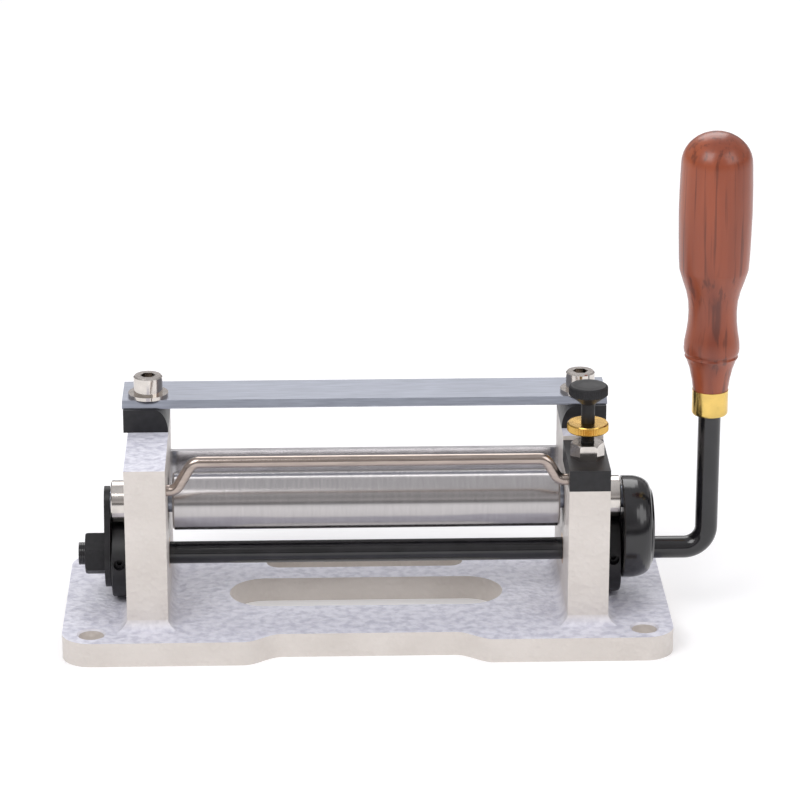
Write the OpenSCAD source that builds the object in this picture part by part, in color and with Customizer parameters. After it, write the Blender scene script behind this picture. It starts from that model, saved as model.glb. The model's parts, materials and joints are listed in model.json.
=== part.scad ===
// Hand-lever leather splitting machine. Millimetres, +Z up, origin at the centre of the base's underside.
// X runs along the roller, with the lever at +X; the operator stands at -Y.

/* [Base casting] */
// Length of the base plate along the roller
base_w = 269; // [255:1:300]
// Depth of the base plate
base_d = 106; // [100:1:120]
// Thickness of the base plate
base_t = 11; // [8:0.5:14]
// Corner radius of the base plate
base_corner = 13; // [6:0.5:15]
// Depth of the hollow in the front edge
notch_d = 8.7; // [4:0.1:9]
// Length of the flat bottom of the hollow
notch_w = 76; // [50:1:100]
// Run of each S-shaped side of the hollow
notch_ramp = 17; // [10:0.5:20]
// Length of the front slot in the plate
front_slot_l = 123; // [80:1:130]
// Width of the front slot in the plate
front_slot_w = 33; // [20:1:35]
// Centre of the front slot behind the rod
front_slot_y = 4; // [0:0.5:6]
// Length of the rear slot in the plate
rear_slot_l = 90; // [60:1:110]
// Width of the rear slot in the plate
rear_slot_w = 12; // [8:0.5:14]
// Centre of the rear slot behind the rod
rear_slot_y = 39.5; // [35:0.5:42]
// Diameter of the bench bolt holes
bolt_hole_d = 11; // [8:0.5:12]
// Inset of the bench bolt holes from the plate's edges, along the roller
bolt_inset_x = 13; // [12:0.5:16]
// Inset of the bench bolt holes from the plate's front and rear edges
bolt_inset_y = 11; // [10:0.5:14]
// Inner distance between the uprights
throat = 176; // [160:1:180]
// Thickness of each upright
upright_t = 18; // [16:0.5:22]
// Front face of the uprights, in front of the rod
upright_front = 36; // [32:0.5:40]
// Rear face of the uprights, behind the rod
upright_rear = 44; // [38:0.5:46]
// Height of the land that carries the blade seats
land_z = 84.5; // [82:0.5:92]
// Radius of the cove where an upright meets the plate
cove_r = 5; // [2:0.5:6]

/* [Blade] */
// Length of the blade
blade_l = 217; // [200:1:226]
// Width of the blade
blade_w = 29; // [26:0.5:30]
// Thickness of the blade
blade_t = 3; // [2:0.25:4]
// Cutting edge of the blade, behind the rod
blade_edge_y = 16; // [12:0.5:17]
// Width of the bevel that is ground behind the cutting edge
bevel_w = 3; // [1:0.25:6]
// Height of the land left at the cutting edge
edge_land = 0.5; // [0.2:0.1:1]
// Height of each blade seat
seat_h = 10.5; // [6:0.5:14]
// Width of the flat on top of each blade seat
seat_top_w = 14; // [12:0.5:18]
// Distance between the two blade screws
blade_screw_span = 194; // [188:0.5:198]
// Blade screws behind the cutting edge
blade_screw_back = 10; // [9:0.5:16]
// Diameter of the blade screws
blade_screw_d = 8; // [6:0.5:8]
// Outside diameter of the blade washers
washer_d = 18; // [14:0.5:18]
// Thickness of the blade washers
washer_t = 1.6; // [1:0.1:2]
// Height of the plate behind the roller, at its top edge
rest_top_z = 69.7; // [66:0.1:74]
// Height of the plate behind the roller, from its lower to its top edge
rest_h = 22; // [15:0.5:30]
// Thickness of the plate behind the roller
rest_t = 3; // [2:0.25:4]
// Front face of the plate behind the roller
rest_y = 30; // [20:0.5:34]

/* [Roller] */
// Diameter of the roller
roller_d = 26; // [20:0.5:28]
// Gap between each end of the roller and its upright
roller_gap = 2; // [1:0.25:4]
// Height of the roller's axis with the lever up
roller_z = 57.1; // [56.5:0.1:60]
// Diameter of the roller's fixed axle
axle_d = 10; // [8:0.5:11]
// Length of the bush in each end of the roller
roller_bush_l = 14; // [8:1:25]
// Wall of the bushes in the roller
roller_bush_wall = 3; // [2:0.25:4]
// Diameter of the bearing rings that ride on the cams
ring_d = 19; // [17:0.5:19.5]
// Width of the bearing rings
ring_w = 6.6; // [5:0.2:8]
// Rise of the roller over the lever's whole swing
lift = 5.7; // [5.7:0.1:6]

/* [Lever] */
// Diameter of the lever rod
rod_d = 10; // [8:0.5:10]
// Height of the rod's axis
rod_z = 32.4; // [32:0.1:33]
// Centre of the lever's upright arm along the roller
arm_x = 152.6; // [150:0.2:170]
// Radius of the rod's bend, at its centre line
bend_r = 10; // [7:0.5:16]
// Diameter of the cam discs
cam_d = 35.6; // [34:0.2:35.8]
// Offset of the cam discs from the rod's axis
cam_throw = 4; // [3.5:0.1:4.2]
// Wall of the bushes that carry the rod
rod_bush_wall = 2; // [1.5:0.25:3]
// Thickness of the left keeper plate
keeper_t = 2.6; // [2:0.2:4]
// Diameter of the round right keeper
hub_d = 45.8; // [44:0.2:46]
// Thickness of the round right keeper
hub_t = 14; // [10:0.5:16]
// Width across the flats of the rod nut
rod_nut_af = 17; // [15:0.5:17]
// Thickness of the rod nut
rod_nut_t = 8.7; // [6:0.1:10]
// Height of the ferrule
ferrule_h = 11.5; // [8:0.5:16]
// Outside diameter of the ferrule
ferrule_d = 16; // [15:0.5:18]
// Distance from the rod's axis to the ferrule's lower edge
ferrule_up = 63.5; // [50:0.5:90]
// Length of the wooden handle
handle_l = 117.4; // [100:0.2:140]
// Widest diameter of the wooden handle
handle_d = 32.2; // [28:0.2:36]
// Depth of the rod's tang in the handle
tang_l = 40; // [20:1:60]

/* [Guard bar and adjuster] */
// Diameter of the guard bar
guard_d = 5; // [4:0.5:6]
// Height of the guard bar's straight run
guard_z = 86; // [86:0.5:90]
// Guard bar in front of the rod
guard_y = 29; // [24:0.5:31]
// Height of the guard bar's left end
guard_left_z = 73; // [66:0.5:78]
// Slope of the climb at each end of the guard bar, in degrees
guard_slope = 60; // [45:1:70]
// Bend radius of the guard bar, at its centre line
guard_bend_r = 5; // [4:0.25:5]
// Straight tail of the guard bar before its first bend
guard_tail = 1.5; // [1:0.5:4]
// Depth of the sockets that hold the guard bar's ends
guard_socket = 5; // [3:0.5:8]
// Thickness of the adjuster block
block_t = 9.5; // [7:0.5:12]
// Height of the adjuster block's top
block_top_z = 82.5; // [80:0.5:84]
// Depth of the adjuster block
block_d = 40; // [34:0.5:44]
// Diameter of the adjusting screw
adj_d = 6; // [5:0.5:8]
// Adjusting screw in front of the rod
adj_y = 18; // [12:0.5:24]
// Width across the flats of the adjuster's hexagon nut
adj_nut_af = 13; // [11:0.5:14]
// Thickness of the adjuster's hexagon nut
adj_nut_t = 7; // [4:0.5:8]
// Diameter of the knurled lock nut
lock_d = 18.2; // [14:0.2:20]
// Thickness of the knurled lock nut
lock_t = 4; // [3:0.25:6]
// Gap between the hexagon nut and the lock nut
lock_gap = 5.3; // [3:0.1:6]
// Diameter of the adjusting screw's head
knob_d = 17.2; // [14:0.2:20]
// Height of the cylindrical part of the adjusting screw's head
knob_h = 4.8; // [3:0.2:7]
// Height of the cone under the adjusting screw's head
knob_cone = 3.7; // [2:0.1:5]
// Length of bare shank between the lock nut and the head's cone
knob_neck = 8.7; // [5:0.1:14]

/* [Hidden] */
$fn = 64;
// Radial clearance of a shaft that turns in its bore
run = 0.05;
// Clearance between moving faces
gap = 0.3;
// Clearance of a screw in a plain hole
loose = 0.4;
// Overlap that makes cuts clean
eps = 0.01;
// Depth to which a cove is let into the faces that it joins
bite = 0.1;
left = -1;
right = 1;
inner_x = throat / 2;
outer_x = inner_x + upright_t;
mid_x = inner_x + upright_t / 2;
adj_x = mid_x;
blade_z = land_z + seat_h;
block_z = block_top_z - block_t;
// The bearing rings and cams share one band outside each upright
band_x = outer_x + 0.4;
band_w = ring_w + 0.6;
keeper_x = band_x + band_w + gap;
axle_r = axle_d / 2;
rod_r = rod_d / 2;
slot_r = axle_r + 0.2;
cam_turn = 135;
cam_y = cam_throw * sin(cam_turn);
cam_z = rod_z + cam_throw * cos(cam_turn);
hub_z = rod_z + (roller_z - rod_z) * 0.417;
arm_top = ferrule_up + ferrule_h + tang_l;
nut_x = keeper_x + keeper_t + gap;
rod_end_x = nut_x + rod_nut_t + 3;

lock_z = block_top_z + adj_nut_t + lock_gap;
guard_right_z = block_top_z - block_t * 0.66;
roller_bore_r = axle_r + run + roller_bush_wall;
roller_half = throat / 2 - roller_gap;

// The cylinder's axis points along +X, from its low face
module along_x(r, l) {
    rotate([0, 90, 0]) cylinder(r = r, h = l);
}

// Places a child outside one upright, mirrored for the left side
module on_side(side) {
    if (side == left) mirror([1, 0, 0]) children();
    else children();
}

module stadium(l, w) {
    straight = l - w;
    square([straight, w], center = true);
    for (s = [-1, 1]) translate([s * straight / 2, 0]) circle(d = w);
}

// Half of an S-curve from the flat of the hollow to the plate's front edge
function notch_side(s) = [for (i = [0:12])
    [s * (notch_w / 2 + notch_ramp * i / 12), -base_d / 2 + notch_d * (1 + cos(180 * i / 12)) / 2]];

module base_outline() {
    difference() {
        union() {
            square([base_w - 2 * base_corner, base_d], center = true);
            square([base_w, base_d - 2 * base_corner], center = true);
            for (x = [-1, 1], y = [-1, 1])
                translate([x * (base_w / 2 - base_corner), y * (base_d / 2 - base_corner)]) circle(r = base_corner);
        }
        polygon(concat([[-notch_w / 2 - notch_ramp, -base_d / 2 - 1]],
            [for (i = [12:-1:0]) notch_side(-1)[i]], notch_side(1),
            [[notch_w / 2 + notch_ramp, -base_d / 2 - 1]]));
        translate([0, front_slot_y]) stadium(front_slot_l, front_slot_w);
        translate([0, rear_slot_y]) stadium(rear_slot_l, rear_slot_w);
        for (x = [-1, 1], y = [-1, 1])
            translate([x * (base_w / 2 - bolt_inset_x), y * (base_d / 2 - bolt_inset_y)]) circle(d = bolt_hole_d);
    }
}

// Mitred cove round the foot of an upright, cleared for the cam outside it
module upright_foot() {
    depth = upright_front + upright_rear;
    cove_z = base_t + cove_r - bite;
    difference() {
        translate([inner_x - cove_r + bite, -upright_front - cove_r + bite, base_t - 1])
            cube([upright_t + 2 * (cove_r - bite), depth + 2 * (cove_r - bite), cove_r - bite + 1]);
        for (y = [-upright_front - cove_r + bite, upright_rear + cove_r - bite])
            translate([inner_x - 2 * cove_r, y, cove_z]) along_x(cove_r, upright_t + 4 * cove_r);
        for (x = [inner_x - cove_r + bite, outer_x + cove_r - bite])
            translate([x, upright_rear + 2 * cove_r, cove_z]) rotate([90, 0, 0])
                cylinder(r = cove_r, h = depth + 4 * cove_r);
        translate([outer_x, 0, rod_z]) along_x(cam_d / 2 + cam_throw + gap, cove_r + 1);
    }
}

module upright(side) {
    difference() {
        union() {
            translate([inner_x, -upright_front, base_t - 1])
                cube([upright_t, upright_front + upright_rear, land_z - base_t + 1]);
            upright_foot();
        }
        if (side == right)
            translate([inner_x - 1, -upright_front - 1, block_z])
                cube([upright_t + 2, block_d + 1, land_z - block_z + 1]);
        // Guide slot for the roller's axle
        for (z = [roller_z - gap, roller_z + lift + gap])
            translate([inner_x - 1, 0, z]) along_x(slot_r, upright_t + 2);
        translate([inner_x - 1, -slot_r, roller_z - gap]) cube([upright_t + 2, 2 * slot_r, lift + 2 * gap]);
        // Seat of the rod's bush
        translate([inner_x - 1, 0, rod_z]) along_x(rod_r + run + rod_bush_wall, upright_t + 2);
        // Tapped hole of the blade screw
        translate([blade_screw_span / 2, blade_edge_y + blade_screw_back, land_z - 16])
            cylinder(r = blade_screw_d / 2 + run, h = 17);
        // Socket of the guard bar's left end
        if (side == left)
            translate([inner_x - 1, -guard_y, guard_left_z]) along_x(guard_d / 2 + run, guard_socket + 2);
        // Clearance hole for the tip of the adjusting screw
        if (side == right)
            translate([adj_x, -adj_y, block_z - 8]) cylinder(r = adj_d / 2 + loose, h = 9);
    }
}

module base_casting() {
    color([0.86, 0.86, 0.90]) {
        difference() {
            linear_extrude(base_t) base_outline();
            for (x = [-1, 1], y = [-1, 1])
                translate([x * (base_w / 2 - bolt_inset_x), y * (base_d / 2 - bolt_inset_y), base_t - 0.8])
                    cylinder(r1 = bolt_hole_d / 2, r2 = bolt_hole_d / 2 + 1, h = 0.9);
        }
        for (side = [left, right]) on_side(side) upright(side);
    }
}

module rod_bush() {
    translate([inner_x, 0, rod_z]) difference() {
        along_x(rod_r + run + rod_bush_wall, upright_t);
        translate([-1, 0, 0]) along_x(rod_r + run, upright_t + 2);
    }
}

module rod_bush_left() { color([0.72, 0.52, 0.28]) on_side(left) rod_bush(); }
module rod_bush_right() { color([0.72, 0.52, 0.28]) on_side(right) rod_bush(); }

// The seat's inner side falls to the upright in a rounded shoulder
module blade_seat() {
    outer = blade_l / 2 - 0.5;
    top = outer - seat_top_w;
    shoulder = [for (a = [0:10:90]) [inner_x + (top - inner_x) * (1 - cos(a)), land_z + seat_h * sin(a)]];
    difference() {
        translate([0, upright_rear, 0]) rotate([90, 0, 0])
            linear_extrude(upright_rear - blade_edge_y + 2)
                polygon(concat(shoulder, [[outer, blade_z], [outer, land_z]]));
        translate([blade_screw_span / 2, blade_edge_y + blade_screw_back, land_z - 1])
            cylinder(r = blade_screw_d / 2 + loose, h = seat_h + 2);
    }
}

module blade_seat_left() { color([0.07, 0.07, 0.08]) on_side(left) blade_seat(); }
module blade_seat_right() { color([0.07, 0.07, 0.08]) on_side(right) blade_seat(); }

module blade() {
    color([0.66, 0.68, 0.72]) difference() {
        translate([-blade_l / 2, blade_edge_y, blade_z]) rotate([90, 0, 90]) linear_extrude(blade_l)
            polygon([[0, 0], [blade_w, 0], [blade_w, blade_t], [bevel_w, blade_t], [0, edge_land]]);
        for (s = [left, right])
            translate([s * blade_screw_span / 2, blade_edge_y + blade_screw_back, blade_z - 1])
                cylinder(r = blade_screw_d / 2 + loose, h = blade_t + 2);
    }
}

module at_blade_screws(z) {
    for (s = [left, right])
        translate([s * blade_screw_span / 2, blade_edge_y + blade_screw_back, z]) children();
}

module blade_washers() {
    color([0.80, 0.80, 0.82]) at_blade_screws(blade_z + blade_t) difference() {
        cylinder(d = washer_d, h = washer_t);
        translate([0, 0, -1]) cylinder(r = blade_screw_d / 2 + loose, h = washer_t + 2);
    }
}

// Socket head cap screw that stands on z = 0, with its shank below
module cap_screw(d, shank) {
    head_r = d * 0.8125;
    difference() {
        union() {
            cylinder(r = head_r, h = d - 0.6);
            translate([0, 0, d - 0.6]) cylinder(r1 = head_r, r2 = head_r - 0.6, h = 0.6);
            translate([0, 0, -shank]) cylinder(d = d, h = shank + eps);
        }
        translate([0, 0, d / 2]) cylinder(r = d * 0.433, h = d, $fn = 6);
    }
}

module blade_screws() {
    color([0.78, 0.78, 0.80]) at_blade_screws(blade_z + blade_t + washer_t)
        cap_screw(blade_screw_d, washer_t + blade_t + seat_h + 14);
}

module rest_plate() {
    color([0.85, 0.85, 0.86]) translate([-inner_x, rest_y, rest_top_z - rest_h]) cube([throat, rest_t, rest_h]);
}

// Height that the straight part of a climb covers beyond its two elbows, and the climb's reach along the roller
function guard_slant(z_end) = (guard_z - z_end - 2 * guard_bend_r * (1 - cos(guard_slope))) / sin(guard_slope);
function guard_reach(z_end) = 2 * guard_bend_r * sin(guard_slope) + guard_slant(z_end) * cos(guard_slope);

// Centre line of one end as it stands at -X, each entry [x, z, slope]: socket, tail, elbow, climb, elbow
function guard_end(z_end) =
    let (start = -inner_x + guard_tail, r = guard_bend_r, top_x = start + guard_reach(z_end))
    concat([[-inner_x - guard_socket, z_end, 0]],
        [for (i = [0:5]) let (a = guard_slope * i / 5) [start + r * sin(a), z_end + r * (1 - cos(a)), a]],
        [for (i = [5:-1:0]) let (a = guard_slope * i / 5) [top_x - r * sin(a), guard_z - r * (1 - cos(a)), a]]);

module guard_bar() {
    sides = 20;
    left_end = guard_end(guard_left_z);
    right_end = guard_end(guard_right_z);
    last = len(right_end) - 1;
    route = concat(left_end, [for (i = [last:-1:0]) [-right_end[i][0], right_end[i][1], -right_end[i][2]]]);
    rings = len(route);
    points = [for (p = route, k = [0:sides - 1])
        let (up = cos(360 * k / sides) * guard_d / 2, out = sin(360 * k / sides) * guard_d / 2)
        [p[0] - up * sin(p[2]), out, p[1] + up * cos(p[2])]];
    walls = [for (i = [0:rings - 2], k = [0:sides - 1])
        let (n = (k + 1) % sides) [i * sides + k, i * sides + n, (i + 1) * sides + n, (i + 1) * sides + k]];
    color([0.62, 0.58, 0.56]) translate([0, -guard_y, 0])
        polyhedron(points, concat([[for (k = [sides - 1:-1:0]) k]], walls,
            [[for (k = [0:sides - 1]) (rings - 1) * sides + k]]));
}

module adjuster_block() {
    color([0.06, 0.06, 0.07]) difference() {
        translate([inner_x, -upright_front, block_z]) cube([upright_t, block_d, block_t]);
        translate([adj_x, -adj_y, block_z - 1]) cylinder(r = adj_d / 2 + run, h = block_t + 2);
        translate([inner_x - 1, -guard_y, guard_right_z]) along_x(guard_d / 2 + run, guard_socket + 2);
    }
}

module at_adjuster(z) { translate([adj_x, -adj_y, z]) children(); }

module adjuster_nut() {
    color([0.80, 0.79, 0.80]) at_adjuster(block_top_z) difference() {
        intersection() {
            cylinder(r = adj_nut_af / sqrt(3), h = adj_nut_t, $fn = 6);
            cylinder(r1 = adj_nut_af / 2 + adj_nut_t, r2 = adj_nut_af / 2 + 0.3, h = adj_nut_t);
        }
        translate([0, 0, -1]) cylinder(r = adj_d / 2 + run, h = adj_nut_t + 2);
    }
}

module lock_nut() {
    color([0.72, 0.50, 0.18]) at_adjuster(lock_z) difference() {
        rotate_extrude() polygon([[adj_d / 2 + run, 0], [lock_d / 2 - 0.6, 0], [lock_d / 2, 0.6],
            [lock_d / 2, lock_t - 0.6], [lock_d / 2 - 0.6, lock_t], [adj_d / 2 + run, lock_t]]);
    }
}

module adjusting_screw() {
    neck_top = lock_z + lock_t + knob_neck;
    head_z = neck_top + knob_cone;
    tip_z = block_z - 6;
    r = adj_d / 2;
    color([0.08, 0.08, 0.09]) translate([adj_x, -adj_y, 0]) rotate_extrude()
        polygon([[0, tip_z], [r - 0.8, tip_z], [r, tip_z + 0.8], [r, neck_top], [knob_d / 2 - 0.5, head_z],
            [knob_d / 2, head_z + 0.5], [knob_d / 2, head_z + knob_h - 0.8], [knob_d / 2 - 0.8, head_z + knob_h],
            [knob_d * 0.3, head_z + knob_h - 0.4], [0, head_z + knob_h - 0.4]]);
}

module roller() {
    color([0.75, 0.75, 0.76]) translate([0, 0, roller_z]) rotate([0, 90, 0]) rotate_extrude()
        polygon([[roller_bore_r, -roller_half], [roller_d / 2 - 0.8, -roller_half], [roller_d / 2, -roller_half + 0.8],
            [roller_d / 2, roller_half - 0.8], [roller_d / 2 - 0.8, roller_half], [roller_bore_r, roller_half]]);
}

module roller_bushes() {
    color([0.72, 0.52, 0.28]) for (side = [left, right]) on_side(side)
        translate([roller_half - roller_bush_l, 0, roller_z]) difference() {
            along_x(roller_bore_r, roller_bush_l);
            translate([-1, 0, 0]) along_x(axle_r + run, roller_bush_l + 2);
        }
}

module roller_axle() {
    start = keeper_x + keeper_t;
    color([0.70, 0.70, 0.72]) translate([-start, 0, roller_z]) along_x(axle_r, start + keeper_x + hub_t / 2);
}

module bearing_ring() {
    translate([band_x + 0.3, 0, roller_z]) rotate([0, 90, 0]) rotate_extrude()
        polygon([[axle_r + run, 0], [ring_d / 2 - 0.5, 0], [ring_d / 2, 0.5], [ring_d / 2, ring_w - 0.5],
            [ring_d / 2 - 0.5, ring_w], [axle_r + run, ring_w]]);
}

module bearing_ring_left() { color([0.82, 0.80, 0.80]) on_side(left) bearing_ring(); }
module bearing_ring_right() { color([0.82, 0.80, 0.80]) on_side(right) bearing_ring(); }

// Slot that lets a keeper rise past the rod, cut from x by a depth
module rod_slot(x, depth) {
    r = rod_r + gap;
    for (z = [rod_z - lift, rod_z]) translate([x, 0, z]) along_x(r, depth);
    translate([x, -r, rod_z - lift]) cube([depth, 2 * r, lift]);
}

// Tapered link, broad round the rod and narrow at the axle
module keeper_plate() {
    foot_r = 14;
    foot_z = rod_z - 1;
    head_r = 7;
    rise = roller_z - foot_z;
    lean = asin((foot_r - head_r) / rise);
    color([0.06, 0.06, 0.07]) mirror([1, 0, 0]) difference() {
        union() {
            translate([keeper_x, 0, foot_z]) along_x(foot_r, keeper_t);
            translate([keeper_x, 0, roller_z]) along_x(head_r, keeper_t);
            translate([keeper_x, 0, 0]) rotate([90, 0, 90]) linear_extrude(keeper_t)
                polygon([for (p = [[1, foot_r, foot_z], [1, head_r, roller_z], [-1, head_r, roller_z],
                    [-1, foot_r, foot_z]]) [p[0] * p[1] * cos(lean), p[2] + p[1] * sin(lean)]]);
        }
        rod_slot(keeper_x - 1, keeper_t + 2);
        translate([keeper_x - 1, 0, roller_z]) along_x(axle_r, keeper_t + 2);
    }
}

// Thick round keeper on the lever's side, with a barrelled rim
module keeper_hub() {
    edge = hub_t * 0.72;
    inner_face_r = hub_d / 2;
    outer_face_r = hub_d / 2 - 5.2;
    color([0.06, 0.06, 0.07]) difference() {
        translate([keeper_x, 0, hub_z]) rotate([0, 90, 0]) rotate_extrude($fn = 96)
            polygon(concat([[0, 0], [inner_face_r - 0.6, 0], [inner_face_r, 0.6]],
                [for (a = [0:10:90]) [outer_face_r + 5.2 * cos(a), hub_t - edge + edge * sin(a) * 0.9]],
                [[outer_face_r - 1.2, hub_t], [0, hub_t]]));
        rod_slot(keeper_x - 1, hub_t + 2);
        translate([keeper_x - 1, 0, roller_z]) along_x(axle_r, hub_t / 2 + 1);
    }
}

module at_arm() { translate([arm_x, 0, rod_z]) children(); }

module lever_rod() {
    straight_end = arm_x - bend_r;
    color([0.05, 0.05, 0.06]) {
        translate([-rod_end_x, 0, rod_z]) along_x(rod_r, rod_end_x + straight_end);
        translate([straight_end, 0, rod_z + bend_r]) rotate([90, 0, 0])
            rotate([0, 0, -90]) rotate_extrude(angle = 90) translate([bend_r, 0]) circle(r = rod_r);
        at_arm() translate([0, 0, bend_r]) cylinder(r = rod_r, h = arm_top - bend_r);
    }
}

module cam() {
    difference() {
        translate([band_x, cam_y, cam_z]) rotate([0, 90, 0]) rotate_extrude($fn = 96)
            polygon([[0, 0], [cam_d / 2 - 0.5, 0], [cam_d / 2, 0.5], [cam_d / 2, band_w - 0.5],
                [cam_d / 2 - 0.5, band_w], [0, band_w]]);
        translate([band_x - 1, 0, rod_z]) along_x(rod_r + run, band_w + 2);
        translate([band_x + band_w / 2, 0, rod_z]) rotate([90, 0, 0]) cylinder(r = 2.5, h = cam_d);
    }
}

module cam_left() { color([0.05, 0.05, 0.06]) on_side(left) cam(); }
module cam_right() { color([0.05, 0.05, 0.06]) on_side(right) cam(); }

module cam_screws() {
    color([0.12, 0.12, 0.13]) for (side = [left, right]) on_side(side)
        translate([band_x + band_w / 2, 0, rod_z]) rotate([90, 0, 0]) difference() {
            translate([0, 0, rod_r + run]) cylinder(r = 2.45, h = 7);
            translate([0, 0, rod_r + 5]) cylinder(r = 1.3, h = 4, $fn = 6);
        }
}

module rod_nut() {
    color([0.07, 0.07, 0.08]) translate([-nut_x - rod_nut_t, 0, rod_z]) rotate([0, 90, 0]) difference() {
        intersection() {
            cylinder(r = rod_nut_af / sqrt(3), h = rod_nut_t, $fn = 6);
            cylinder(r1 = rod_nut_af / 2 + 0.4, r2 = rod_nut_af / 2 + rod_nut_t, h = rod_nut_t);
        }
        translate([0, 0, -1]) cylinder(r = rod_r + run, h = rod_nut_t + 2);
    }
}

module ferrule() {
    r = ferrule_d / 2;
    color([0.78, 0.60, 0.22]) at_arm() translate([0, 0, ferrule_up]) rotate_extrude()
        polygon([[rod_r + run, 0], [r - 1, 0], [r - 0.3, 0.3], [r, 1], [r, ferrule_h], [rod_r + run, ferrule_h]]);
}

// Radius of the turned handle at a share of its length, as [share, share of the widest radius]
handle_shape = [[0, 0.48], [0.04, 0.52], [0.09, 0.60], [0.12, 0.68], [0.133, 0.735], [0.14, 0.715], [0.147, 0.75],
    [0.165, 0.765], [0.19, 0.755], [0.23, 0.705], [0.27, 0.67], [0.31, 0.66], [0.35, 0.68], [0.39, 0.745],
    [0.43, 0.845], [0.47, 0.93], [0.485, 0.95], [0.52, 0.965], [0.60, 0.985], [0.70, 1], [0.80, 0.99], [0.88, 0.97]];

module handle() {
    top = handle_shape[len(handle_shape) - 1];
    r = handle_d / 2;
    dome = [for (a = [15:15:75]) [top[1] * r * cos(a), handle_l * (top[0] + (1 - top[0]) * sin(a))]];
    color([0.50, 0.17, 0.09]) at_arm() translate([0, 0, ferrule_up + ferrule_h]) difference() {
        rotate_extrude() polygon(concat([[0, 0]], [for (p = handle_shape) [p[1] * r, p[0] * handle_l]], dome,
            [[0, handle_l]]));
        translate([0, 0, -1]) cylinder(r = rod_r + run, h = tang_l + 1.5);
    }
}

base_casting();
rod_bush_left();
rod_bush_right();
blade_seat_left();
blade_seat_right();
blade();
blade_washers();
blade_screws();
rest_plate();
guard_bar();
adjuster_block();
adjuster_nut();
lock_nut();
adjusting_screw();
roller();
roller_bushes();
roller_axle();
bearing_ring_left();
bearing_ring_right();
keeper_plate();
keeper_hub();
lever_rod();
cam_left();
cam_right();
cam_screws();
rod_nut();
ferrule();
handle();
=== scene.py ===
"""The looks of a hand-lever leather splitting machine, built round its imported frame."""

import json
import math

import bpy
import bmesh
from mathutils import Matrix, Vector


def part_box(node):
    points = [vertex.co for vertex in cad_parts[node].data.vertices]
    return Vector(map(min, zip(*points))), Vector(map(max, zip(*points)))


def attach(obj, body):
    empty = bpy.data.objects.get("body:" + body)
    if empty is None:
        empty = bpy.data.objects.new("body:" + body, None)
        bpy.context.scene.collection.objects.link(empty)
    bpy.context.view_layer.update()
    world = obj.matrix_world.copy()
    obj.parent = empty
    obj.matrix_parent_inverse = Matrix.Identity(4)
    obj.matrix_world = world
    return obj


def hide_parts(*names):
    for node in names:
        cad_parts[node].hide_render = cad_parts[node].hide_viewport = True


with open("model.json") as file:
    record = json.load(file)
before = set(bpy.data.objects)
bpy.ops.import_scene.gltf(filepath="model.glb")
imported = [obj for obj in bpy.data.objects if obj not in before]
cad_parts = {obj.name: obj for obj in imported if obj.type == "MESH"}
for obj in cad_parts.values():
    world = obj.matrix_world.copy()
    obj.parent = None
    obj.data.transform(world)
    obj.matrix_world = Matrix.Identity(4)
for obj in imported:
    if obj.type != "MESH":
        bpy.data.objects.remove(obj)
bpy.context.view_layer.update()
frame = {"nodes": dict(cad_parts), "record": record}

NODES = frame["nodes"]
SLOTS = {part["node"]: part["material_slot"] for part in frame["record"]["subparts"]}
MM = 0.001
UP = (0, 0, 1)

# ---------------------------------------------------------------- camera
# Tilted down a little, from in front and just left of the middle.
CAMERA_PLACE = (-0.030, -1.470, 0.6174)
CAMERA_YAW = 0.0307
CAMERA_PITCH = 0.3361
FOCAL_PIXELS = 3524.3
PICTURE_SIDE = 800
SENSOR = 36.0
FARTHEST_SEEN = 50


def linked(name, data):
    """A new object in the scene, at the origin."""
    made = bpy.data.objects.new(name, data)
    bpy.context.scene.collection.objects.link(made)
    return made


def make_camera():
    data = bpy.data.cameras.new("camera")
    camera = linked("camera", data)
    data.sensor_width = SENSOR
    data.lens = FOCAL_PIXELS / PICTURE_SIDE * SENSOR
    data.clip_end = FARTHEST_SEEN
    camera.location = CAMERA_PLACE
    camera.rotation_euler = (math.pi / 2 - CAMERA_PITCH, 0, -CAMERA_YAW)
    bpy.context.scene.camera = camera


make_camera()
bpy.context.scene.view_settings.view_transform = "Standard"

# ---------------------------------------------------------------- finishes
# Where the Mix node keeps its two colours and its result.
MIX_FIRST, MIX_SECOND, MIX_RESULT = 6, 7, 2


def blended(tree, factor, first, second, kind="MIX"):
    """Mixes two colours; the factor and each colour is a number, a colour or a socket."""
    made = tree.nodes.new("ShaderNodeMix")
    made.data_type = "RGBA"
    made.blend_type = kind
    for place, value in (("Factor", factor), (MIX_FIRST, first), (MIX_SECOND, second)):
        if isinstance(value, bpy.types.NodeSocket):
            tree.links.new(value, made.inputs[place])
        else:
            made.inputs[place].default_value = value
    return made.outputs[MIX_RESULT]


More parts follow.
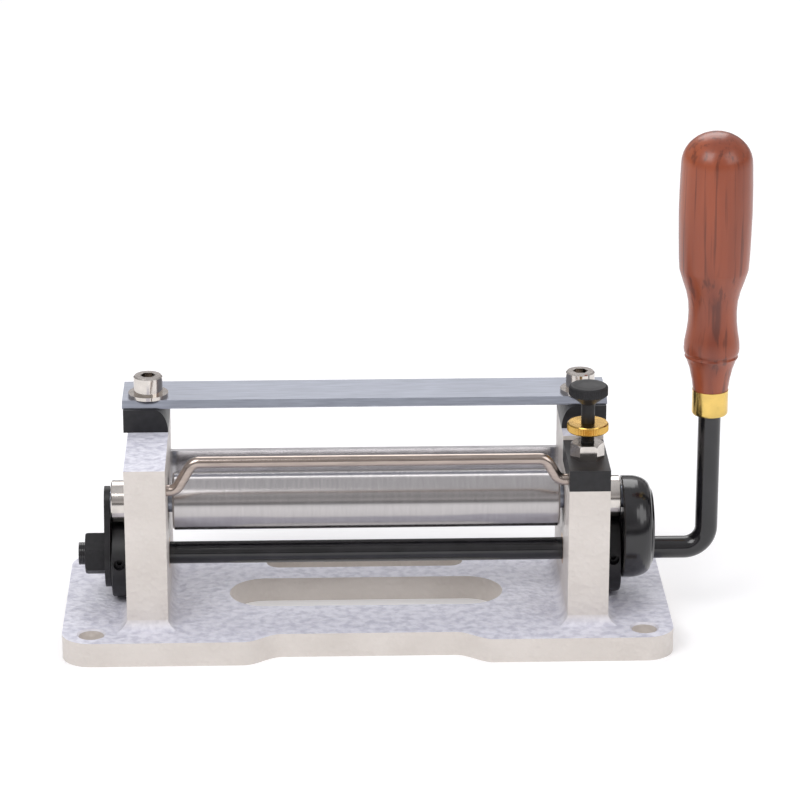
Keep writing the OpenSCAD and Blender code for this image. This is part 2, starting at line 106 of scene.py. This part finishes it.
class Finish:
    """A node material and the few nodes that the finishes share."""

    def __init__(self, name, colour, metallic=0.0, roughness=0.5):
        self.material = bpy.data.materials.new(name)
        self.material.use_nodes = True
        self.tree = self.material.node_tree
        self.shader = self.tree.nodes["Principled BSDF"]
        self.shader.inputs["Base Color"].default_value = (*colour, 1)
        self.shader.inputs["Metallic"].default_value = metallic
        self.shader.inputs["Roughness"].default_value = roughness
        self.place = self.node("ShaderNodeTexCoord").outputs["Object"]

    def node(self, kind, **inputs):
        made = self.tree.nodes.new(kind)
        for key, value in inputs.items():
            made.inputs[key].default_value = value
        return made

    def link(self, source, target):
        self.tree.links.new(source, target)

    def noise(self, scale, detail=4.0, stretch=(1, 1, 1), distortion=0.0):
        mapping = self.node("ShaderNodeMapping", Scale=stretch)
        self.link(self.place, mapping.inputs["Vector"])
        made = self.node("ShaderNodeTexNoise", Scale=scale, Detail=detail, Distortion=distortion)
        self.link(mapping.outputs["Vector"], made.inputs["Vector"])
        return made.outputs["Fac"]

    def ramp(self, source, stops):
        made = self.tree.nodes.new("ShaderNodeValToRGB")
        points = made.color_ramp.elements
        while len(points) < len(stops):
            points.new(0.5)
        for point, (at, colour) in zip(points, stops):
            point.position = at
            point.color = (*colour, 1)
        self.link(source, made.inputs["Fac"])
        return made.outputs["Color"]

    def spread(self, source, low, high):
        made = self.tree.nodes.new("ShaderNodeMapRange")
        made.inputs["To Min"].default_value = low
        made.inputs["To Max"].default_value = high
        self.link(source, made.inputs["Value"])
        return made.outputs["Result"]

    def colour(self, source):
        self.link(source, self.shader.inputs["Base Color"])

    def rough(self, source, low, high):
        self.link(self.spread(source, low, high), self.shader.inputs["Roughness"])

    def bump(self, source, strength, depth):
        """Raises the surface with a pattern, on top of any pattern that it already has."""
        made = self.node("ShaderNodeBump", Strength=strength, Distance=depth)
        self.link(source, made.inputs["Height"])
        before = self.shader.inputs["Normal"].links
        if before:
            self.link(before[0].from_socket, made.inputs["Normal"])
        self.link(made.outputs["Normal"], self.shader.inputs["Normal"])


def white_enamel():
    """Enamel over rough cast metal with a crackled skin, and painted light and shade: faces turned up
    pale and cool, the sides warm and darker.
    """
    f = Finish("white_enamel", (0.80, 0.79, 0.85), roughness=0.38)
    normal_for_painted_light = f.tree.nodes.new("ShaderNodeNewGeometry")
    split = f.tree.nodes.new("ShaderNodeSeparateXYZ")
    f.link(normal_for_painted_light.outputs["True Normal"], split.inputs["Vector"])
    grain = f.noise(scale=260, detail=5)
    # Painted light and shade on one white enamel: a paler, cooler tone for faces turned up, a darker,
    # warmer tone for the sides, as the light falls.
    top = f.ramp(grain, [(0.36, (0.60, 0.60, 0.70)), (0.58, (0.80, 0.80, 0.89))])
    side = f.ramp(f.noise(scale=40, detail=3), [(0.3, (0.66, 0.61, 0.57)), (0.7, (0.74, 0.69, 0.65))])
    # Painted light and shade: how far each face turns upward sets the mix of the painted lit tone and
    # the painted shaded tone.
    f.colour(blended(f.tree, f.spread(split.outputs["Z"], 0.0, 1.0), side, top))
    f.rough(grain, 0.28, 0.50)
    crackle = f.node("ShaderNodeTexVoronoi", Scale=420.0)
    f.link(f.place, crackle.inputs["Vector"])
    f.bump(crackle.outputs["Distance"], strength=0.6, depth=0.6 * MM)
    f.bump(grain, strength=0.6, depth=0.6 * MM)
    return f.material


def black_finish(name, roughness, grain, shine):
    """Black paint or oxide with a fine, dust-like mottling."""
    f = Finish(name, (0.012, 0.012, 0.015), roughness=roughness)
    f.shader.inputs["Specular IOR Level"].default_value = shine
    speck = f.noise(scale=grain)
    f.colour(f.ramp(speck, [(0.35, (0.004, 0.004, 0.005)), (0.75, (0.014, 0.013, 0.016))]))
    f.rough(speck, roughness * 0.8, roughness * 1.25)
    f.bump(speck, strength=0.12, depth=0.2 * MM)
    return f.material


def steel(name, colour, smooth, rough, stretch, line_height=0.02, contrast=0.12):
    """Steel with fine lines, drawn out by the stretch and seen in both colour and height."""
    f = Finish(name, colour, metallic=1.0, roughness=smooth)
    lines = f.noise(scale=90, detail=3, stretch=stretch)
    pale = tuple(min(1, c * (1 + contrast)) for c in colour)
    dark = tuple(c * (1 - contrast) for c in colour)
    f.colour(f.ramp(lines, [(0.3, dark), (0.7, pale)]))
    f.rough(f.noise(scale=30, detail=2), smooth, rough)
    f.bump(lines, strength=line_height, depth=0.1 * MM)
    return f.material


def yellow_metal(name, colour, roughness):
    """Brass or bronze with a slight tarnish."""
    f = Finish(name, colour, metallic=1.0, roughness=roughness)
    tarnish = f.noise(scale=140)
    f.colour(f.ramp(tarnish, [(0.3, tuple(c * 0.78 for c in colour)), (0.7, colour)]))
    f.rough(tarnish, roughness * 0.7, roughness * 1.4)
    return f.material


def varnished_wood():
    """Reddish hardwood with long pores, darker streaks and a satin varnish."""
    f = Finish("varnished_wood", (0.33, 0.075, 0.028), roughness=0.36)
    figure = f.noise(scale=34, detail=5, stretch=(1.0, 1.0, 0.10), distortion=0.6)
    pores = f.noise(scale=420, detail=2, stretch=(1.0, 1.0, 0.035))
    streak = f.ramp(figure, [(0.28, (0.190, 0.034, 0.012)), (0.48, (0.340, 0.072, 0.024)),
                             (0.72, (0.440, 0.115, 0.040))])
    dark = f.ramp(pores, [(0.34, (0.45, 0.40, 0.38)), (0.46, (1, 1, 1))])
    f.colour(blended(f.tree, 0.8, streak, dark, "MULTIPLY"))
    f.rough(figure, 0.30, 0.46)
    f.bump(pores, strength=0.15, depth=0.2 * MM)
    f.shader.inputs["Coat Weight"].default_value = 0.35
    f.shader.inputs["Coat Roughness"].default_value = 0.18
    return f.material


FINISHES = {
    "white_enamel": white_enamel(),
    "bronze": yellow_metal("bronze", (0.55, 0.33, 0.14), 0.30),
    "black_paint": black_finish("black_paint", roughness=0.42, grain=300, shine=0.5),
    "black_gloss": black_finish("black_gloss", roughness=0.16, grain=160, shine=0.7),
    "black_oxide": black_finish("black_oxide", roughness=0.50, grain=500, shine=0.45),
    "blade_steel": steel("blade_steel", (0.36, 0.38, 0.44), 0.28, 0.40, (1, 14, 14), line_height=0.08),
    "ground_steel": steel("ground_steel", (0.50, 0.48, 0.48), 0.19, 0.23, (9, 1, 1), 0.0, contrast=0.05),
    "polished_plate": steel("polished_plate", (0.80, 0.80, 0.82), 0.10, 0.18, (1, 1, 14)),
    "guard_steel": steel("guard_steel", (0.44, 0.37, 0.33), 0.16, 0.26, (1, 10, 10), line_height=0.03),
    "bright_plate": steel("bright_plate", (0.66, 0.62, 0.58), 0.08, 0.18, (2, 2, 2)),
    "knurled_brass": yellow_metal("knurled_brass", (0.74, 0.46, 0.12), 0.24),
    "ferrule_brass": yellow_metal("ferrule_brass", (0.86, 0.60, 0.18), 0.18),
    "varnished_wood": varnished_wood(),
}


def dress_cad_nodes():
    for name, piece in NODES.items():
        slots = piece.data.materials
        if not len(slots):
            slots.append(None)
        for i in range(len(slots)):
            slots[i] = FINISHES[SLOTS[name]]


dress_cad_nodes()


# ---------------------------------------------------------------- pieces that stand for CAD nodes
def drawn_mesh(holder):
    """The plain mesh that an object's curve or modifier makes; the object itself goes."""
    mesh = bpy.data.meshes.new_from_object(holder.evaluated_get(bpy.context.evaluated_depsgraph_get()))
    bpy.data.objects.remove(holder)
    return mesh


def smooth_faces(mesh):
    for face in mesh.polygons:
        face.use_smooth = True


def add_piece(name, mesh, node, body, sharp_from):
    """Links a mesh as the piece that stands for a CAD node, in that node's finish.

    Edges that bend by more than sharp_from, in degrees, stay sharp."""
    mesh.materials.clear()
    mesh.materials.append(FINISHES[SLOTS[node]])
    piece = linked(name, mesh)
    smooth_faces(mesh)
    mesh.set_sharp_from_angle(angle=math.radians(sharp_from))
    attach(piece, body)
    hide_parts(node)


def revolve(profile, foot, sides, groove=None):
    """Turns an outline of (radius, height), in metres, about the upright axis through foot.

    groove(radius) is how far every second point of a ring is let in, for knurling."""
    bm = bmesh.new()
    rings = []
    across = Vector(UP).orthogonal().normalized()
    other = Vector(UP).cross(across)
    for radius, height in profile:
        middle = Vector(foot) + Vector(UP) * height
        if radius == 0:
            rings.append([bm.verts.new(middle)])
            continue
        depth = groove(radius) if groove else 0.0
        ring = []
        for k in range(sides):
            turn = 2 * math.pi * k / sides
            way = across * math.cos(turn) + other * math.sin(turn)
            ring.append(bm.verts.new(middle + way * (radius - (depth if k % 2 else 0.0))))
        rings.append(ring)
    pairs = list(zip(rings, rings[1:]))
    if len(rings[0]) > 1:
        pairs.append((rings[-1], rings[0]))
    for a, b in pairs:
        for k in range(sides):
            n = (k + 1) % sides
            corners = [a[k % len(a)], a[n % len(a)], b[n % len(b)], b[k % len(b)]]
            corners = list(dict.fromkeys(corners))
            if len(corners) > 2:
                bm.faces.new(corners)
    bmesh.ops.recalc_face_normals(bm, faces=bm.faces)
    mesh = bpy.data.meshes.new("turned")
    bm.to_mesh(mesh)
    bm.free()
    return mesh


def turned_size(node):
    """Foot, greatest radius and height of an upright turned node."""
    low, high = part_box(node)
    centre = (low + high) / 2
    return (centre.x, centre.y, low.z), (high.x - low.x) / 2, high.z - low.z


def knurled_lock_nut():
    foot, rim, tall = turned_size("lock_nut")
    bore = 3.05 * MM
    bevel = 0.6 * MM
    lip = 0.25 * MM
    knurl_depth = 0.35 * MM
    knurl_points = 144

    def let_in(radius):
        return knurl_depth if radius > rim - lip / 2 else 0.0

    half = [(bore, 0), (rim - bevel, 0), (rim - lip, bevel * 0.7), (rim, bevel)]
    profile = half + [(radius, tall - height) for radius, height in reversed(half)]
    mesh = revolve(profile, foot, knurl_points, let_in)
    add_piece("lock_nut_knurled", mesh, "lock_nut", "lock_nut", sharp_from=20)


def knurled_adjusting_screw():
    foot, rim, top = turned_size("adjusting_screw")
    shank = 3.0 * MM
    point = 0.8 * MM
    pitch = 1.0 * MM
    thread_depth = 0.35 * MM
    knob_foot = top - 4.8 * MM
    cone_foot = knob_foot - 3.7 * MM
    thread_end = cone_foot - 8.6 * MM
    dish = 0.55 * MM
    knurl_depth = 0.22 * MM
    knurl_points = 120

    def let_in(radius):
        return knurl_depth if radius > rim - 0.1 * MM else 0.0

    profile = [(0, 0), (shank - point, 0), (shank, point)]
    for i in range(int((thread_end - 1.2 * MM) / pitch)):
        crest = pitch * (i + 1)
        profile += [(shank, crest), (shank - thread_depth, crest + pitch / 2)]
    profile += [(shank, thread_end), (shank, cone_foot), (shank + 0.6 * MM, cone_foot + 0.4 * MM)]
    profile += [(rim - 0.8 * MM, knob_foot), (rim, knob_foot + 0.6 * MM), (rim, top - 0.9 * MM)]
    profile += [(rim - 0.3 * MM, top - 0.4 * MM), (rim - 0.9 * MM, top), (rim * 0.72, top - 0.1 * MM)]
    profile += [(rim * 0.62, top - 0.5 * MM), (rim * 0.2, top - dish), (0, top - dish)]
    mesh = revolve(profile, foot, knurl_points, let_in)
    add_piece("adjusting_screw_knurled", mesh, "adjusting_screw", "adjusting_screw", sharp_from=25)


def smooth_guard_bar():
    """The bent bar as one smooth tube, on the route that its solid follows."""
    low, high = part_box("guard_bar")
    thick = 5 * MM
    bend = 5 * MM
    socket = 5 * MM
    tail = 1.5 * MM
    slope = math.radians(60)
    bend_steps = 10
    ring_steps = 8
    y = (low.y + high.y) / 2
    top = high.z - thick / 2
    left_height = low.z + thick / 2
    right_height = 76.23 * MM
    straight_from = high.x - socket

    def end(height, side):
        """Points from one upright up to the top run; side is -1 at the left and 1 at the right."""
        climb = (top - height - 2 * bend * (1 - math.cos(slope))) / math.sin(slope)
        reach = 2 * bend * math.sin(slope) + climb * math.cos(slope)
        first = -straight_from + tail
        steps = [slope * i / bend_steps for i in range(bend_steps + 1)]
        line = [(-straight_from - socket, height)]
        line += [(first + bend * math.sin(a), height + bend * (1 - math.cos(a))) for a in steps]
        last = first + reach
        line += [(last - bend * math.sin(a), top - bend * (1 - math.cos(a))) for a in reversed(steps)]
        return [(-side * x, z) for x, z in line]

    route = end(left_height, -1) + end(right_height, 1)[::-1]
    curve = bpy.data.curves.new("guard_route", "CURVE")
    curve.dimensions = "3D"
    spline = curve.splines.new("POLY")
    spline.points.add(len(route) - 1)
    for point, (x, z) in zip(spline.points, route):
        point.co = (x, y, z, 1)
    curve.bevel_depth = thick / 2
    curve.bevel_resolution = ring_steps
    curve.use_fill_caps = True
    mesh = drawn_mesh(linked("guard_route", curve))
    add_piece("guard_bar_smooth", mesh, "guard_bar", "frame", sharp_from=50)


# Shares of the handle's height and of its greatest radius, from the ferrule up: neck, bead with its
# groove, waist and swelling grip. A quarter round closes the top.
HANDLE_OUTLINE = [
    (0.0, 0.48), (0.04, 0.52), (0.09, 0.60), (0.12, 0.68), (0.133, 0.735), (0.138, 0.72),
    (0.141, 0.712), (0.145, 0.72), (0.15, 0.752), (0.165, 0.765), (0.19, 0.755), (0.23, 0.705),
    (0.27, 0.67), (0.31, 0.66), (0.35, 0.68), (0.39, 0.745), (0.43, 0.845), (0.47, 0.935),
    (0.478, 0.945), (0.52, 0.965), (0.60, 0.985), (0.70, 1.0), (0.80, 0.99), (0.88, 0.97),
]


def turned_handle():
    """The wooden handle, with the bore that its rod stands in."""
    foot, rim, tall = turned_size("handle")
    bore = 5.05 * MM
    bore_depth = 41 * MM
    dome_steps = 10
    handle_sides = 96
    profile = [(0, bore_depth), (bore, bore_depth), (bore, 0)]
    for (share, width), (next_share, next_width) in zip(HANDLE_OUTLINE, HANDLE_OUTLINE[1:]):
        profile.append((width * rim, share * tall))
        profile.append(((width + next_width) / 2 * rim, (share + next_share) / 2 * tall))
    dome_share, dome_width = HANDLE_OUTLINE[-1]
    for k in range(dome_steps):
        turn = math.pi / 2 * k / dome_steps
        share = dome_share + (1 - dome_share) * math.sin(turn)
        profile.append((dome_width * rim * math.cos(turn), share * tall))
    profile.append((0, tall))
    add_piece("handle_turned", revolve(profile, foot, handle_sides), "handle", "lever", sharp_from=40)


knurled_lock_nut()
knurled_adjusting_screw()
smooth_guard_bar()
turned_handle()


# ---------------------------------------------------------------- thread on the rod's left end
def thread_tree():
    """Rows of fine ridges: copies of one thin ring along +X, a pitch apart."""
    tree = bpy.data.node_groups.new("thread_ridges", "GeometryNodeTree")
    face = tree.interface
    face.new_socket("Geometry", in_out="OUTPUT", socket_type="NodeSocketGeometry")
    for name in ("Radius", "Pitch", "Start", "Axis height"):
        face.new_socket(name, in_out="INPUT", socket_type="NodeSocketFloat")
    face.new_socket("Turns", in_out="INPUT", socket_type="NodeSocketInt")
    face.new_socket("Finish", in_out="INPUT", socket_type="NodeSocketMaterial")
    new = tree.nodes.new
    join = tree.links.new
    given = new("NodeGroupInput")
    result = new("NodeGroupOutput")

    ridge_share = new("ShaderNodeMath")
    ridge_share.operation = "MULTIPLY"
    ridge_share.inputs[1].default_value = 0.3
    ring = new("GeometryNodeCurvePrimitiveCircle")
    ring.inputs["Resolution"].default_value = 48
    section = new("GeometryNodeCurvePrimitiveCircle")
    section.inputs["Resolution"].default_value = 6
    ridge = new("GeometryNodeCurveToMesh")
    join(given.outputs["Pitch"], ridge_share.inputs[0])
    join(given.outputs["Radius"], ring.inputs["Radius"])
    join(ridge_share.outputs["Value"], section.inputs["Radius"])
    join(ring.outputs["Curve"], ridge.inputs["Curve"])
    join(section.outputs["Curve"], ridge.inputs["Profile Curve"])

    start = new("ShaderNodeCombineXYZ")
    step = new("ShaderNodeCombineXYZ")
    row = new("GeometryNodeMeshLine")
    join(given.outputs["Start"], start.inputs["X"])
    join(given.outputs["Axis height"], start.inputs["Z"])
    join(given.outputs["Pitch"], step.inputs["X"])
    join(given.outputs["Turns"], row.inputs["Count"])
    join(start.outputs["Vector"], row.inputs["Start Location"])
    join(step.outputs["Vector"], row.inputs["Offset"])

    across = new("FunctionNodeEulerToRotation")
    across.inputs["Euler"].default_value = (0, math.pi / 2, 0)
    copies = new("GeometryNodeInstanceOnPoints")
    real = new("GeometryNodeRealizeInstances")
    coat = new("GeometryNodeSetMaterial")
    join(row.outputs["Mesh"], copies.inputs["Points"])
    join(ridge.outputs["Mesh"], copies.inputs["Instance"])
    join(across.outputs["Rotation"], copies.inputs["Rotation"])
    join(copies.outputs["Instances"], real.inputs["Geometry"])
    join(real.outputs["Geometry"], coat.inputs["Geometry"])
    join(given.outputs["Finish"], coat.inputs["Material"])
    join(coat.outputs["Geometry"], result.inputs["Geometry"])
    return tree


def rod_thread():
    """The thread on the rod's left end, outside its nut."""
    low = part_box("lever_rod")[0]
    rod_radius = 5 * MM
    settings = {
        "Radius": 4.85 * MM,
        "Pitch": 0.75 * MM,
        "Start": low.x + 0.6 * MM,
        "Turns": 4,
        "Axis height": low.z + rod_radius,
        "Finish": FINISHES["black_oxide"],
    }
    tree = thread_tree()
    holder = linked("thread_holder", bpy.data.meshes.new("empty"))
    modifier = holder.modifiers.new("thread", "NODES")
    modifier.node_group = tree
    for socket in tree.interface.items_tree:
        if socket.in_out == "INPUT":
            modifier[socket.identifier] = settings[socket.name]
    piece = linked("rod_thread", drawn_mesh(holder))
    smooth_faces(piece.data)
    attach(piece, "lever")


rod_thread()


# ---------------------------------------------------------------- stage and light
def add_stage():
    """A wide pale floor, with a slight glow of its own that keeps it near white."""
    material = bpy.data.materials.new("pale_floor")
    material.use_nodes = True
    paint = material.node_tree.nodes["Principled BSDF"].inputs
    paint["Base Color"].default_value = (0.93, 0.93, 0.94, 1)
    paint["Roughness"].default_value = 0.9
    paint["Emission Color"].default_value = (1, 1, 1, 1)
    paint["Emission Strength"].default_value = 0.16
    side = 6.0
    corners = [(-side, -side, 0), (side, -side, 0), (side, side, 0), (-side, side, 0)]
    mesh = bpy.data.meshes.new("floor")
    mesh.from_pydata(corners, [], [range(len(corners))])
    mesh.materials.append(material)
    linked("floor", mesh)


def add_lamp(name, place, target, size, power):
    data = bpy.data.lights.new(name, "AREA")
    data.size = size
    data.energy = power
    lamp = linked(name, data)
    lamp.location = place
    lamp.rotation_euler = (Vector(target) - Vector(place)).to_track_quat("-Z", "Y").to_euler()


def add_world():
    """A pale room with a dark band just above the horizon, for the metals; the camera sees it white."""
    world = bpy.data.worlds.new("studio")
    bpy.context.scene.world = world
    world.use_nodes = True
    tree = world.node_tree
    back = tree.nodes["Background"]
    back.inputs["Strength"].default_value = 0.66
    way = tree.nodes.new("ShaderNodeTexCoord")
    split = tree.nodes.new("ShaderNodeSeparateXYZ")
    room = tree.nodes.new("ShaderNodeValToRGB")
    stops = room.color_ramp.elements
    stops[0].position = 0.0
    stops[0].color = (0.90, 0.90, 0.93, 1)
    stops[1].position = 1.0
    stops[1].color = (1.0, 1.0, 1.03, 1)
    for height, grey in ((0.06, 0.25), (0.16, 0.22), (0.26, 0.95), (0.45, 0.55)):
        stops.new(height).color = (grey, grey * 0.97, grey * 0.98, 1)
    ray = tree.nodes.new("ShaderNodeLightPath")
    seen_white = (1.55, 1.55, 1.55, 1)
    tree.links.new(way.outputs["Generated"], split.inputs["Vector"])
    tree.links.new(split.outputs["Z"], room.inputs["Fac"])
    colour = blended(tree, ray.outputs["Is Camera Ray"], room.outputs["Color"], seen_white)
    tree.links.new(colour, back.inputs["Color"])


add_stage()
add_world()
add_lamp("key", (-0.7, -0.9, 1.3), (0, 0, 0.05), size=0.9, power=11)
add_lamp("fill", (0.9, -0.7, 0.9), (0, 0, 0.08), size=0.8, power=4)
add_lamp("back", (0.1, 1.2, 1.2), (0, 0, 0.08), size=1.0, power=8)
